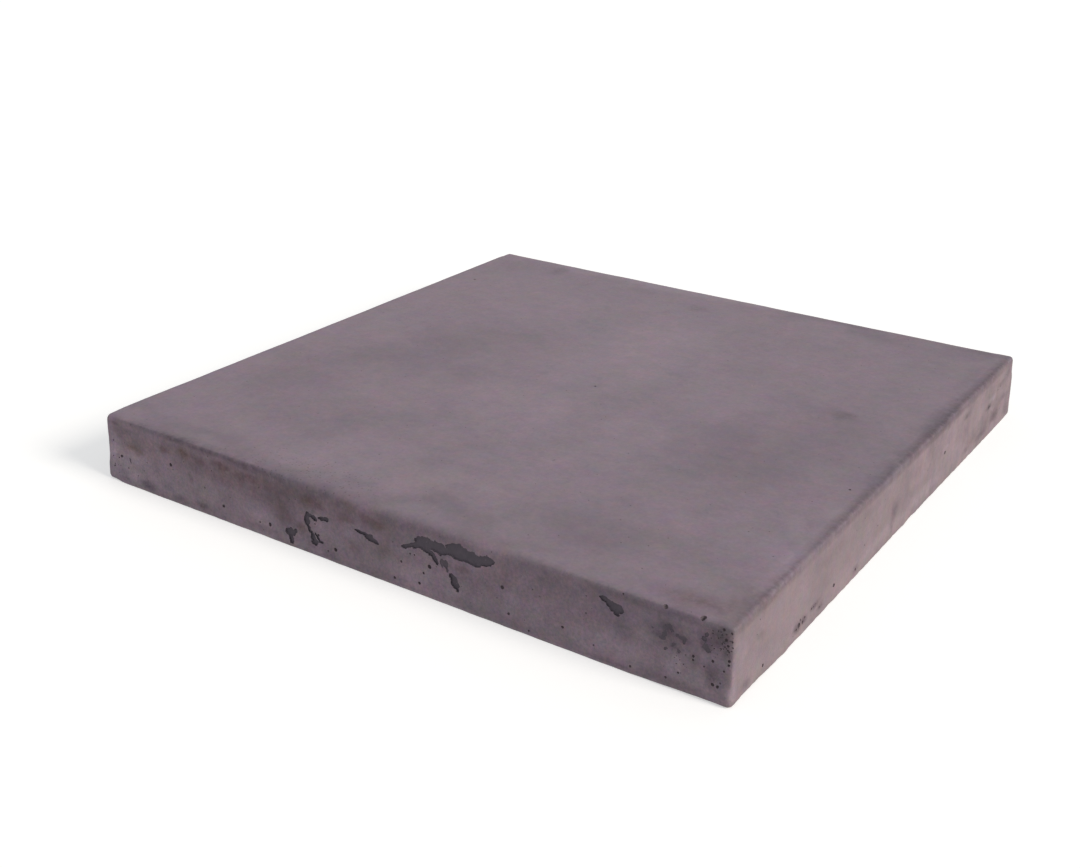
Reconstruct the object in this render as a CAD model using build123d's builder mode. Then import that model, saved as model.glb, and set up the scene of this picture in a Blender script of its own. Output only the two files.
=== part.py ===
from build123d import *
import math
import os

# A square paving slab, cast in one piece in a tray mould with its wearing face down.
# The frame has its origin at the centre of the underside. +Z is up, X runs along the
# front side and Y along the right side. Sizes are in millimetres.

base_side = 500.0        # side of the square at the underside
thickness = 50.0
side_draft = 2.3         # degrees that each side leans in towards the wearing face
corner_radius = 2.5      # upright corners
worn_corner_radius = 6.0 # the left corner, rubbed rounder than the rest
top_arris_radius = 3.0   # edge round the wearing face
bottom_arris_radius = 2.0

# Air trapped against the mould leaves flat, smooth-floored pockets in the sides.
pocket_depth = 1.0
pinhole_floor = 0.55     # radius of a pinhole's floor, as a share of its mouth's
mm3_per_litre = 1e6

lean = math.radians(side_draft)
top_half = base_side / 2 - thickness * math.tan(lean)


def side_plane(turn):
    """Plane lying on one side face: x runs along the side, y climbs it, z points out.
    A turn of 0 is the front side, and 90 is the right side."""
    way = math.radians(turn)
    out = Vector(math.sin(way), -math.cos(way), 0)
    return Plane(
        origin=out * (base_side / 2),
        x_dir=(math.cos(way), math.sin(way), 0),
        z_dir=out * math.cos(lean) + Vector(0, 0, math.sin(lean)),
    )


front_side = side_plane(0)
right_side = side_plane(90)
top_face = Plane.XY.offset(thickness)

# Each pocket is a run of merged bubbles: (along, up, half length, half height, tilt).
front_pockets = {
    "long": [
        (41, 36.6, 8.5, 4.5, 0),
        (51, 36.4, 8.5, 4.1, -4),
        (66, 38.0, 9.5, 5.6, 4),
        (77, 37.0, 9.0, 4.8, 0),
        (86, 38.6, 7.6, 3.4, 8),
        (29, 31.4, 7.4, 1.7, 26),
        (43, 31.6, 9.0, 2.0, -14),
        (50.6, 28.0, 4.4, 1.4, -56),
    ],
    "spindle": [(62.6, 20.0, 2.2, 1.7, -40), (64.4, 16.8, 5.0, 1.9, -66)],
    "wedge": [
        (169, 40.4, 4.6, 1.7, -4),
        (175, 39.6, 5.4, 2.6, -6),
        (175.4, 35.6, 3.6, 1.8, -42),
    ],
    "hook_top": [(-52.4, 27.8, 4.6, 1.3, -8), (-49.2, 26.6, 2.4, 1.1, -30)],
    "hook_stem": [(-55.0, 23.2, 3.4, 1.9, -76), (-53.4, 18.4, 3.2, 1.7, -80)],
    "hook_foot": [
        (-49.4, 12.4, 4.4, 1.6, -62),
        (-48.4, 9.2, 3.0, 2.2, 20),
        (-44.0, 11.4, 2.8, 1.2, 12),
    ],
    "dash": [(-41.0, 28.2, 5.4, 1.5, 8)],
    "comma": [(-70.4, 10.2, 4.4, 2.9, 30), (-71.2, 6.0, 3.6, 1.7, -72)],
    "sliver": [(-8.6, 28.6, 6.8, 1.2, -4), (-1.6, 26.8, 5.4, 1.7, -12)],
    "scallop": [(232.4, 33.4, 3.2, 2.5, 16)],
}

# Pinholes: (along, up, radius) on the sides and (x, y, radius) on the wearing face.
front_pinholes = [
    (45.0, 21.8, 1.3),
    (40.4, 16.0, 1.0),
    (23.0, 18.4, 1.1),
    (37.2, 8.0, 1.3),
    (17.6, 5.4, 1.2),
    (-31.0, 9.6, 1.6),
    (-88.4, 10.4, 1.5),
    (-131.6, 11.2, 1.3),
    (-181.6, 28.2, 1.4),
    (-232.6, 21.2, 1.3),
    (225.4, 25.2, 1.1),
    (240.6, 12.2, 1.0),
]
right_pinholes = [
    (-111.8, 11.8, 1.6),
    (88.0, 25.2, 1.5),
    (-211.0, 8.4, 1.3),
    (190.2, 25.6, 1.6),
    (-163.0, 9.6, 1.7),
    (-157.6, 9.0, 1.3),
]
top_pinholes = [(-222.6, 158.0, 1.2), (233.0, -57.0, 1.0), (8.6, -2.0, 0.9)]


with BuildPart() as paver:
    # The block leans in on all four sides, so that it leaves the mould.
    with BuildSketch():
        Rectangle(base_side, base_side)
    extrude(amount=thickness, taper=side_draft)

    # Worn upright corners, then the softened edge above and the smaller one below.
    left_corner = (-base_side / 2, -base_side / 2, 0)
    uprights = paver.edges().group_by(Axis.Z)[1].sort_by_distance(left_corner)
    fillet(uprights[0], worn_corner_radius)
    fillet(uprights[1:], corner_radius)
    fillet(paver.faces().sort_by(Axis.Z)[-1].edges(), top_arris_radius)
    fillet(paver.faces().sort_by(Axis.Z)[0].edges(), bottom_arris_radius)

    # Each pocket is the union of its bubbles, sunk square to the side.
    for bubbles in front_pockets.values():
        with BuildSketch(front_side):
            for along, up, half_length, half_height, tilt in bubbles:
                with Locations((along, up)):
                    Ellipse(half_length, half_height, rotation=tilt)
        extrude(amount=-pocket_depth, mode=Mode.SUBTRACT)

    # Pinholes are small bubbles that narrow from a round mouth to a small floor. Each is
    # as deep as its mouth's radius.
    for face_plane, pinholes in (
        (front_side, front_pinholes),
        (right_side, right_pinholes),
        (top_face, top_pinholes),
    ):
        for along, up, radius in pinholes:
            with Locations(face_plane * Location((along, up, 0))):
                Cone(
                    radius * pinhole_floor,
                    radius,
                    radius,
                    align=(Align.CENTER, Align.CENTER, Align.MAX),
                    mode=Mode.SUBTRACT,
                )

paver.part.label = "paver"

os.makedirs("parts", exist_ok=True)
export_step(paver.part, "parts/paver.step")
litres = paver.part.volume / mm3_per_litre
print("wearing face", round(2 * top_half, 1), "mm square, volume", round(litres, 3), "litres")
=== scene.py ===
import math
import random

import bmesh
import bpy
from mathutils import Matrix, Vector, noise


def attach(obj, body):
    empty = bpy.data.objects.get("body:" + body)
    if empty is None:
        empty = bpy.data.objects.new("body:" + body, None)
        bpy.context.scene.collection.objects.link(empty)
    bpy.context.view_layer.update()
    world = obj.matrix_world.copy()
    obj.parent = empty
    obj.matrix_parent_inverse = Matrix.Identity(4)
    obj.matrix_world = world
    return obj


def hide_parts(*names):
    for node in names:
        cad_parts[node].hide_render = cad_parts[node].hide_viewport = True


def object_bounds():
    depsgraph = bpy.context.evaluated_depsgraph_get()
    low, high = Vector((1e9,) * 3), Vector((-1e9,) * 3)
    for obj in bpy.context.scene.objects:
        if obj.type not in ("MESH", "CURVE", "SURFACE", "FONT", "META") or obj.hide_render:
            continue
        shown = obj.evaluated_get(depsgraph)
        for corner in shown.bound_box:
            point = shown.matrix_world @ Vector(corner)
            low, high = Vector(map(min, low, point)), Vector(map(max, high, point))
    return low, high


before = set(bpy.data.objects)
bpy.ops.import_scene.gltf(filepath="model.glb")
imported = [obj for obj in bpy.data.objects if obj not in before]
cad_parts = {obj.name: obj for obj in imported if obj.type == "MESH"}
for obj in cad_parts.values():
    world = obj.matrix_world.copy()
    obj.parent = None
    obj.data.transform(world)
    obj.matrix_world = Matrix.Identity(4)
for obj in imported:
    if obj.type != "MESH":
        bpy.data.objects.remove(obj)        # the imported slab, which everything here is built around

cadLow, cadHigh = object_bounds()
mm = 0.001
random.seed(7)
noise.seed_set(7)        # else the stains' outlines change from run to run

# Lengths in the dictionaries are millimetres, angles are degrees, and colours are linear.
# On a side face a place is (along, up), as seen from outside, from the middle of its foot.

thickness = cadHigh.z
baseHalf = cadHigh.x                   # half the foot of the slab
lean = math.radians(2.3)               # the sides lean in, so that the slab leaves its mould


def halfAt(z):
    # half the width of the slab at this height
    return baseHalf - z * math.tan(lean)


# Camera, matched to the photograph's edges

view = {
    "place": (0.4978, -0.8061, 0.4291),
    "azimuth": 33.815,
    "elevation": 24.011,
    "roll": 0.611,
    "lens": 45.07,
    "sensor": 36.0,
}


def makeCamera():
    data = bpy.data.cameras.new("camera")
    data.sensor_fit = "HORIZONTAL"
    data.sensor_width = view["sensor"]
    data.lens = view["lens"]
    camera = bpy.data.objects.new("camera", data)
    bpy.context.scene.collection.objects.link(camera)
    turn = Matrix.Rotation(math.radians(view["azimuth"]), 4, "Z")
    tip = Matrix.Rotation(math.radians(90 - view["elevation"]), 4, "X")
    roll = Matrix.Rotation(math.radians(view["roll"]), 4, "Z")
    camera.matrix_world = Matrix.Translation(view["place"]) @ turn @ tip @ roll
    bpy.context.scene.camera = camera


# Short helpers for node trees

def addNode(tree, kind, **settings):
    node = tree.nodes.new(kind)
    for name, value in settings.items():
        setattr(node, name, value)
    return node


def feed(tree, node, **inputs):
    # each input is a number, a colour, or another node's output socket
    for name, value in inputs.items():
        socket = node.inputs[name.replace("_", " ")]
        if isinstance(value, bpy.types.NodeSocket):
            tree.links.new(value, socket)
        else:
            socket.default_value = value
    return node


def feedInOrder(tree, node, values):
    for slot, value in enumerate(values):
        if isinstance(value, bpy.types.NodeSocket):
            tree.links.new(value, node.inputs[slot])
        else:
            node.inputs[slot].default_value = value


def calculate(tree, operation, *values):
    node = addNode(tree, "ShaderNodeMath", operation=operation)
    feedInOrder(tree, node, values)
    return node.outputs[0]


def product(tree, first, *others):
    for other in others:
        first = calculate(tree, "MULTIPLY", first, other)
    return first


def vectorMaths(tree, operation, *values):
    node = addNode(tree, "ShaderNodeVectorMath", operation=operation)
    feedInOrder(tree, node, values)
    return node.outputs["Vector"]


def scaled(tree, vector, factor):
    node = addNode(tree, "ShaderNodeVectorMath", operation="SCALE")
    feed(tree, node, Vector=vector, Scale=factor)
    return node.outputs["Vector"]


def ramp(tree, value, low, high, toLow=0.0, toHigh=1.0):
    node = addNode(tree, "ShaderNodeMapRange", interpolation_type="SMOOTHSTEP")
    feed(tree, node, Value=value, From_Min=low, From_Max=high, To_Min=toLow, To_Max=toHigh)
    return node.outputs["Result"]


def softNoise(tree, place, **settings):
    return feed(tree, addNode(tree, "ShaderNodeTexNoise"), Vector=place, **settings).outputs["Fac"]


def liftedBy(tree, height, deep):
    # a normal that leans as a height of this many millimetres would tilt it
    bump = addNode(tree, "ShaderNodeBump")
    return feed(tree, bump, Strength=1.0, Distance=deep * mm, Height=height).outputs["Normal"]


def multiplyColour(tree, factor, first, second):
    node = addNode(tree, "ShaderNodeMix", data_type="RGBA", blend_type="MULTIPLY", clamp_factor=True)
    for slot, value in ((0, factor), (6, first), (7, second)):
        if isinstance(value, bpy.types.NodeSocket):
            tree.links.new(value, node.inputs[slot])
        elif slot == 0:
            node.inputs[slot].default_value = value
        else:
            node.inputs[slot].default_value = (*value, 1.0)
    return node.outputs[2]


def startGroup(name, inputs, outputs):
    group = bpy.data.node_groups.new(name, "ShaderNodeTree")
    for label, kind, value in inputs:
        socket = group.interface.new_socket(name=label, in_out="INPUT", socket_type=kind)
        socket.default_value = value
    for label, kind in outputs:
        group.interface.new_socket(name=label, in_out="OUTPUT", socket_type=kind)
    return group, addNode(group, "NodeGroupInput"), addNode(group, "NodeGroupOutput")


def placeGroup(tree, group, **inputs):
    return feed(tree, addNode(tree, "ShaderNodeGroup", node_tree=group), **inputs)


def startMaterial(name):
    # an empty material with its shader joined up, and its place on the object in millimetres
    material = bpy.data.materials.new(name)
    material.use_nodes = True
    tree = material.node_tree
    tree.nodes.clear()
    shader = addNode(tree, "ShaderNodeBsdfPrincipled")
    output = addNode(tree, "ShaderNodeOutputMaterial")
    tree.links.new(shader.outputs["BSDF"], output.inputs["Surface"])
    place = addNode(tree, "ShaderNodeTexCoord").outputs["Object"]
    return material, tree, shader, scaled(tree, place, 1 / mm)


# Effects that several finishes share

def mottleGroup():
    # uneven tone and tint from wide clouds down to grain, to multiply a colour by
    group, enter, leave = startGroup(
        "mottle",
        [
            ("Vector", "NodeSocketVector", (0, 0, 0)),
            ("Scale", "NodeSocketFloat", 0.03),
            ("Detail", "NodeSocketFloat", 7.0),
            ("Roughness", "NodeSocketFloat", 0.75),
            ("Strength", "NodeSocketFloat", 0.1),
            ("Tint", "NodeSocketFloat", 0.2),
        ],
        [("Colour", "NodeSocketColor"), ("Tone", "NodeSocketFloat")],
    )
    clouds = addNode(group, "ShaderNodeTexNoise")
    for name in ("Vector", "Scale", "Detail", "Roughness"):
        group.links.new(enter.outputs[name], clouds.inputs[name])
    blend = addNode(group, "ShaderNodeMix", data_type="RGBA")
    group.links.new(enter.outputs["Tint"], blend.inputs[0])
    group.links.new(clouds.outputs["Fac"], blend.inputs[6])
    group.links.new(clouds.outputs["Color"], blend.inputs[7])
    centred = vectorMaths(group, "SUBTRACT", blend.outputs[2], (0.5, 0.5, 0.5))
    swing = scaled(group, centred, enter.outputs["Strength"])
    group.links.new(vectorMaths(group, "ADD", swing, (1, 1, 1)), leave.inputs["Colour"])
    group.links.new(clouds.outputs["Fac"], leave.inputs["Tone"])
    return group


def speckGroup():
    # scattered small round specks, of which only a share shows
    group, enter, leave = startGroup(
        "specks",
        [
            ("Vector", "NodeSocketVector", (0, 0, 0)),
            ("Spacing", "NodeSocketFloat", 4.0),
            ("Size", "NodeSocketFloat", 0.2),
            ("Share", "NodeSocketFloat", 0.2),
        ],
        [("Mask", "NodeSocketFloat")],
    )
    perCell = calculate(group, "DIVIDE", 1.0, enter.outputs["Spacing"])
    cells = addNode(group, "ShaderNodeTexVoronoi")
    feed(group, cells, Vector=enter.outputs["Vector"], Scale=perCell)
    halfSize = product(group, enter.outputs["Size"], 0.5)
    near = ramp(group, cells.outputs["Distance"], halfSize, enter.outputs["Size"], 1.0, 0.0)
    apart = feed(group, addNode(group, "ShaderNodeSeparateColor"), Color=cells.outputs["Color"])
    chosen = calculate(group, "LESS_THAN", apart.outputs["Red"], enter.outputs["Share"])
    group.links.new(product(group, near, chosen), leave.inputs["Mask"])
    return group


mottle = mottleGroup()
specks = speckGroup()


# The cast stone

stoneLook = {
    "colour": (0.247, 0.190, 0.222),
    "topPaintedLightTint": (0.972, 1.0, 1.038),         # painted light tint: the wearing face a little less red, against the warm lamp
    "rightPaintedLampTint": (1.0, 1.005, 0.955),       # painted lamp tint: the lit right side a little less blue, as under the warm lamp
    "frontPaintedShadeTint": (1.01, 1.0, 1.03),         # painted shade tint: the front, lit by the cool sky, a little more blue
    "underTone": (1.12, 1.14, 1.10),        # the trowelled underside never met the mould
    # how far in from its edge the look of each face starts, and where it is full
    "topBlend": (5, 0.6), "rightBlend": (8, 3), "sideBlend": (6, 1), "underBlend": (2.2, 0.9),
    "top": {"Scale": 0.03, "Detail": 7.0, "Roughness": 0.76, "Strength": 0.95, "Tint": 0.25},
    "side": {"Scale": 0.03, "Detail": 7.0, "Roughness": 0.66, "Strength": 1.4, "Tint": 0.08},
    "calm": 0.5, "calmFrom": (60, -40),     # the right side is calmer towards the near corner
    "tint": {"Scale": 0.14, "Detail": 3.0, "Roughness": 0.6, "Strength": 0.27, "Tint": 1.0},
    "grain": {"Scale": 0.45, "Detail": 3.0, "Roughness": 0.7, "Tint": 0.4},
    "grainStrength": (0.4, 1.0),            # everywhere, and on the front
    "breakUp": {"Scale": 0.22, "Detail": 5.0, "Roughness": 0.7},
    "breakUpRange": (0.32, 0.66, 0.62, 1.2),
    "specular": 0.25,
    "topRoughness": 0.66, "sideRoughness": 0.82, "roughnessSwing": (0.3, 0.7, -0.07, 0.07),
    "grit": {"Scale": 0.9, "Detail": 5.0, "Roughness": 0.65},
    "gritDepth": 0.25, "topGrit": 0.25,     # and the top's share of it
}

# tiny dark specks: a few everywhere, and many along the middle of the front edge's upper side
speckLook = {
    "colour": (0.55, 0.52, 0.50),
    "sparse": {"Spacing": 5.0, "Size": 0.13, "Share": 0.10},
    "dense": {"Spacing": 2.4, "Size": 0.34, "Share": 0.5},
    "denseFrom": (-130, -95), "denseTo": (10, -25), "denseAcross": (-206, -224), "denseDepth": (6, 3),
    "denseWeight": 0.6,
    "depth": 0.5,                           # as a share of the grit's
}

# Stains on the two sides that the photograph doesn't show, wherever noise puts them: the kinds,
# how far each one's noise is shifted, and the noise at which it starts and is full
hiddenStains = {
    "patches": {"Scale": 0.035, "Detail": 6.0, "Roughness": 0.62},
    "kinds": {
        "brown": (31.0, 0.48, 0.84),
        "smudge": (57.0, 0.46, 0.72),
        "dark": (11.0, 0.58, 0.86),
        "pale": (83.0, 0.50, 0.80),
    },
    "shiftAlong": (9, 5, 7),
    "brownRise": (4, 34),                   # brown is stronger higher up
}

# What each kind of stain, painted shade or painted light multiplies the stone's colour by, and how
# far noise pushes its outline about: (size of the lumps, how far)
stainAndLightKinds = {
    "brown": {"colour": (0.56, 0.47, 0.435), "pushes": ((9, 3.4), (3.5, 1.5))},
    "olive": {"colour": (0.66, 0.63, 0.50), "pushes": ((9, 3.4), (3.5, 1.5))},
    "pale": {"colour": (1.34, 1.36, 1.40), "pushes": ((9, 4), (3.5, 1.5))},
    "dark": {"colour": (0.42, 0.40, 0.43), "pushes": ((9, 1.0), (3.5, 0.6))},
    "smear": {"colour": (0.58, 0.63, 0.65), "pushes": ((9, 1.4), (3.5, 0.7))},
    "smudge": {"colour": (0.70, 0.69, 0.70), "pushes": ((12, 4), (4, 1.4))},
    # the next three are tone, partly painted: the first darkens, partly as painted shade; the other two
    # lighten, partly as painted sheen, highlight and light near the foot
    "cloudAndShade": {"colour": (0.86, 0.86, 0.865), "pushes": ((60, 28), (20, 9))},
    "bright": {"colour": (1.12, 1.12, 1.115), "pushes": ((60, 28), (20, 9))},
    "light": {"colour": (1.30, 1.345, 1.32), "pushes": ((30, 9), (11, 4))},
}
# each layer is a colour attribute on the mesh, whose red, green and blue are three kinds' masks
stainAndLightLayers = {
    "warmStains": ("brown", "olive", "pale"),
    "darkStainsAndShade": ("dark", "smear", "smudge"),
    # the clouds layer carries painted shade and painted light as well as tone
    "clouds": ("cloudAndShade", "bright", "light"),
}

# Where the photograph shows them: (along, up, half width, half height, weight), or on the wearing
# face (x, y, ...)
# Besides stains, these tables hold painted shadow, shade, sheen and highlight, noted at each kind.
stainsAndPaintedLight = {
    "top": {
        # darker clouds over the wearing face; the thin ones along its front edge, at y about -236, are
        # painted shade where the top rolls down towards the front
        "cloudAndShade": [
            (-120, 52, 42, 28, 0.7), (-140, 5, 52, 34, 0.9), (-150, -40, 44, 34, 0.9),
            (-95, -22, 46, 22, 0.8), (-188, -100, 40, 62, 0.8), (-130, -160, 70, 36, 0.5),
            (150, -40, 56, 62, 1), (188, 10, 44, 46, 0.7), (118, -92, 30, 30, 0.6),
            (132, -196, 66, 22, 0.8), (60, -236, 90, 8, 0.9), (-85, 208, 34, 12, 0.6),
            (120, 230, 90, 10, 0.9), (216, 226, 36, 20, 0.9), (-200, 222, 40, 16, 0.6),
            (238, 100, 12, 50, 1), (240, 176, 10, 34, 0.6), (238, 10, 12, 60, 0.5),
            (-238, -232, 20, 8, 0.6), (-150, -236, 110, 9, 1), (-60, -238, 60, 8, 1),
            (0, -238, 40, 8, 0.8),
        ],
        # lighter patches; the wide one across the middle, at y about 90, is a painted sheen, and the
        # one by the right edge, at x 236, a painted highlight
        "bright": [
            (0, 90, 52, 110, 1), (-10, -60, 66, 60, 0.8), (-20, -196, 66, 26, 0.7),
            (-110, 128, 60, 40, 0.5), (-228, 20, 10, 90, 0.4), (60, -130, 40, 50, 0.5),
            (90, -90, 50, 60, 0.8), (90, 20, 40, 60, 0.7), (-60, -205, 60, 24, 0.8),
            (236, -150, 12, 80, 1),
        ],
        "dark": [
            (247.8, -200, 2.4, 70, 0.45), (247.8, -80, 2.4, 110, 0.4), (247.8, 80, 2.4, 110, 0.4),
            (247.8, 190, 2.4, 70, 0.4),
        ],
        "brown": [(214, -234, 30, 9, 0.45), (238, -222, 9, 22, 0.35)],
        # paler strips along the far edge; the two by the right edge, at x about 241, are painted
        # highlight where it turns towards the lamp
        "light": [
            (-150, 240, 60, 9, 0.35), (-60, 240, 60, 9, 0.55), (0, 240, 50, 9, 0.45),
            (240.5, -150, 5, 90, 0.4), (241, 60, 5, 120, 0.25),
        ],
        "smudge": [
            (183, 53, 12, 7, 1), (-174, 226, 8, 12, 0.7), (-14, 203, 12, 9, 0.6), (-30, 178, 7, 7, 0.4),
            (110, 242, 40, 5, 0.5), (170, 242, 40, 5, 0.35), (230, 240, 18, 7, 0.6),
            (243, 90, 6, 80, 0.75), (243, 0, 6, 70, 0.65), (244, 180, 5, 60, 0.2),
            (244, -110, 5, 70, 0.05), (-150, -243, 90, 5, 0.4), (-60, -240, 60, 5, 0.25),
            (-132, 203, 12, 7, 0.3), (-46, -230, 46, 6, 0.3), (140, -60, 7, 5, 0.3),
            (158, -44, 7, 5, 0.3), (136, -208, 14, 7, 0.3), (8, -1, 3, 4, 0.6), (-37, -4, 2.4, 4, 0.5),
            (-226, 64, 7, 7, 0.3), (222, -232, 18, 8, 0.5),
        ],
    },
    "front": {
        "brown": [
            (-105, 37, 78, 10, 0.5), (-20, 38, 46, 8, 0.35), (-215, 36, 26, 7, 0.35),
            (-175, 40, 30, 6, 0.4), (-48, 37, 12, 6, 0.75), (-110, 38, 18, 6, 0.8),
            (-88, 38, 10, 7, 0.55), (-22, 36, 10, 7, 0.55), (-5, 38, 12, 5, 0.65), (11, 40, 7, 4, 0.3),
            (-74, 20, 9, 6, 0.5), (-62, 17, 5, 4, 0.7), (-66, 30, 9, 6, 0.2), (-105, 27, 16, 5, 0.3),
            (-132, 40, 14, 5, 0.8), (-153, 38, 9, 5, 0.65), (-188, 38, 8, 4, 0.8),
            (-160, 34, 7, 4, 0.45), (-163, 23, 3, 4, 0.5), (-230, 30, 10, 6, 0.2),
            (70, 28, 9, 2.4, 0.5), (5, 19, 7, 7, 0.2), (-15, 15, 5, 7, 0.3), (-174, 5, 7, 3, 0.3),
            (-153, 5, 9, 2.6, 0.5), (68, 6, 16, 3, 0.3), (110, 5, 16, 3, 0.25), (96, 30, 10, 5, 0.25),
            (-126, 30, 9, 5, 0.45),
        ],
        "olive": [
            (-168, 40, 7, 4.5, 0.9), (-217, 30, 10, 3, 0.85), (-55, 36, 7, 4, 0.5), (4, 37, 4, 5, 0.6),
            (8, 22, 6, 6, 0.25), (-80, 27, 8, 5, 0.5), (100, 37, 5, 5, 0.3), (-20, 44, 8, 3, 0.3),
        ],
        # darker lines along the top edge, dark marks by the near corner, and painted shadow along the
        # ragged foot in the entries 6 mm up or less
        "dark": [
            (-206, 48.4, 30, 1.8, 0.45), (-174, 48.2, 26, 2.2, 0.75), (-144, 47.8, 26, 2.2, 0.75),
            (-114, 47, 26, 2.4, 0.7), (-86, 46.6, 26, 2.5, 0.25), (-60, 46.4, 22, 2.5, 0.1),
            (-237, 45, 5, 1.4, 0.6), (-228, 42, 7, 3, 0.35), (135, 47, 28, 3, 0.25),
            (180, 46.5, 30, 3, 0.45), (220, 47, 22, 3, 0.35), (240, 42, 7, 8, 0.75),
            (237, 18, 6, 7, 0.7), (243, 15, 4, 11, 0.35), (-208, 6, 7, 2.5, 0.6), (-229, 4, 6, 2, 0.5),
            (-153, 6, 6, 3, 0.4), (-98, 6, 20, 2.5, 0.35), (-38, 5, 5, 3, 0.35), (-30, 43, 26, 4, 0.15),
            (172, 3, 16, 2, 0.4), (214, 5, 18, 3, 0.4), (208, 32, 14, 8, 0.3), (140, 40, 30, 5, 0.15),
            (-60, 42, 20, 3, 0.15), (244, 36, 4, 7, 0.55), (203, 32, 6, 3, 0.6),
            (208.5, 36.5, 5, 5, 0.6), (217.5, 34, 6, 3, 0.6), (213, 28, 3.4, 4, 0.6),
            (216, 26, 3, 3, 0.55), (232, 36, 5, 7, 0.6), (226, 25, 3, 3, 0.35), (237, 12, 4, 4, 0.4),
            (243, 47, 6, 3, 0.5),
        ],
        "smear": [
            (-206, 6, 9, 4, 1), (-187, 11, 6, 4, 0.7), (-176, 5, 7, 3, 0.4), (-152, 6, 8, 3, 0.4),
            (-232, 8, 5, 4, 0.5), (-196, 20, 4, 4, 0.4), (-44, 45.5, 18, 3.5, 0.5),
            (20, 45, 18, 3.5, 0.4), (48, 45.5, 14, 3, 0.45), (105, 44, 16, 4.5, 0.4),
            (128, 34, 7, 7, 0.35), (88, 6, 7, 3, 0.3), (-98, 46, 16, 3, 0.2),
        ],
        "pale": [
            (-100, 16, 20, 6, 0.25), (-196, 18, 24, 6, 0.1), (-40, 21, 10, 5, 0.6),
            (-22, 24, 12, 4, 0.5), (-20, 30.2, 8, 1.2, 0.8), (-48, 30.2, 5, 1.2, 0.9),
            (22, 27, 12, 5, 0.3), (47, 18, 14, 7, 0.2), (64, 30, 9, 1.6, 0.3), (115, 20, 16, 7, 0.3),
            (165, 15, 34, 9, 0.6), (215, 17, 12, 8, 0.7), (-144, 42, 5, 3, 0.6), (-243, 30, 5, 16, 1),
            (232, 28, 7, 3, 0.5), (222, 14, 14, 6, 0.6), (-60, 5, 16, 3, 0.6), (-212, 22, 18, 5, 0.4),
            (-222, 8, 20, 6, 0.45), (-182, 10, 20, 6, 0.4), (-240, 35, 7, 6, 0.7), (196, 27, 6, 5, 0.4),
        ],
        # painted light: lifts the lower part of the front, which the floor shades
        "light": [
            (-230, 10, 40, 26, 1), (-160, 8, 50, 22, 0.7), (-100, 6, 50, 16, 0.5),
            (-40, 6, 50, 16, 0.55), (30, 8, 40, 15, 0.45), (75, 5, 40, 17, 0.9), (125, 5, 40, 16, 0.65),
            (180, 5, 50, 16, 0.4), (102, 6, 26, 16, 0.9), (230, 8, 30, 24, 0.55),
            (-215, 32, 40, 12, 0.4),
        ],
    },
    "right": {
        "dark": [
            (-200, 50.2, 70, 2.2, 0.45), (-80, 50.2, 110, 2.1, 0.45), (80, 50.2, 110, 2.1, 0.5),
            (196, 49.4, 70, 3, 0.55), (-165, 9, 6, 3.4, 1), (-156, 10, 5, 3, 0.9),
            (-140, 12, 8, 2, 0.7), (-132, 7, 5, 2.4, 0.6), (-232, 8, 7, 3.4, 0.5),
            (-77, 7, 6, 2.8, 0.6), (92, 44, 5, 2.4, 0.4), (133, 38, 8, 2, 0.55), (206, 12, 14, 4, 0.5),
            (190, 25.2, 7, 2.4, 0.8), (138, 8, 9, 3, 0.45), (178, 8, 16, 3, 0.5),
            (218, 36, 10, 2.4, 0.45), (228, 22, 12, 3, 0.4), (238, 8, 8, 5, 0.4), (236, 40, 6, 4, 0.4),
        ],
        "smudge": [
            (-12, 20, 6, 8, 1), (-16, 11, 4, 6, 0.8), (-214, 30, 6, 3, 0.7), (-240, 42, 4, 4, 0.3),
            (30, 33, 10, 5, 0.35), (-60, 40, 26, 4, 0.25), (184, 12, 10, 3, 0.4),
        ],
        "brown": [
            (-200, 50, 60, 7, 0.35), (-90, 50, 70, 6, 0.3), (40, 50, 80, 6, 0.3),
            (170, 50, 80, 6, 0.35), (-110, 36, 26, 6, 0.2), (150, 12, 20, 6, 0.3),
            (205, 16, 16, 6, 0.25),
        ],
        "pale": [
            (-30, 10, 40, 5, 0.4), (50, 10, 40, 6, 0.5), (96, 18, 30, 8, 0.2), (-246, 10, 3, 4, 0.7),
            (-238, 30, 6, 16, 0.25), (88, 28, 7, 1.6, 0.6), (196, 30, 12, 2.4, 1), (200, 21, 7, 2, 0.8),
        ],
        # painted light: lifts the lower part of the right side, which the floor shades
        "light": [
            (-180, 6, 60, 11, 0.3), (-80, 6, 60, 11, 0.35), (30, 6, 70, 11, 0.3), (140, 6, 60, 11, 0.3),
            (205, 8, 30, 9, 0.2), (-160, 26, 20, 14, 0.2),
        ],
    },
}

stainAndLightFade = {
    "inner": 0.2, "outer": 1.4,             # full within the one, gone past the other, in half widths
    "depth": (6.5, 3.5),                    # how far from a face its stains end, and are full
    "sidePush": 0.6,                        # noise moves a stain less upwards on the sides
}


def stainAndLightMask(face, kind, along, up):
    # how strongly this kind of stain, painted shade or painted light shows at a place on the face
    mask = 0.0
    for centreAlong, centreUp, across, high, weight in stainsAndPaintedLight[face].get(kind, ()):
        offAlong = abs(along - centreAlong) / across
        offUp = abs(up - centreUp) / high
        if max(offAlong, offUp) < stainAndLightFade["outer"]:
            away = math.hypot(offAlong, offUp)
            mask = max(mask, weight * smooth(stainAndLightFade["outer"], stainAndLightFade["inner"], away))
    return mask


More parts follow.
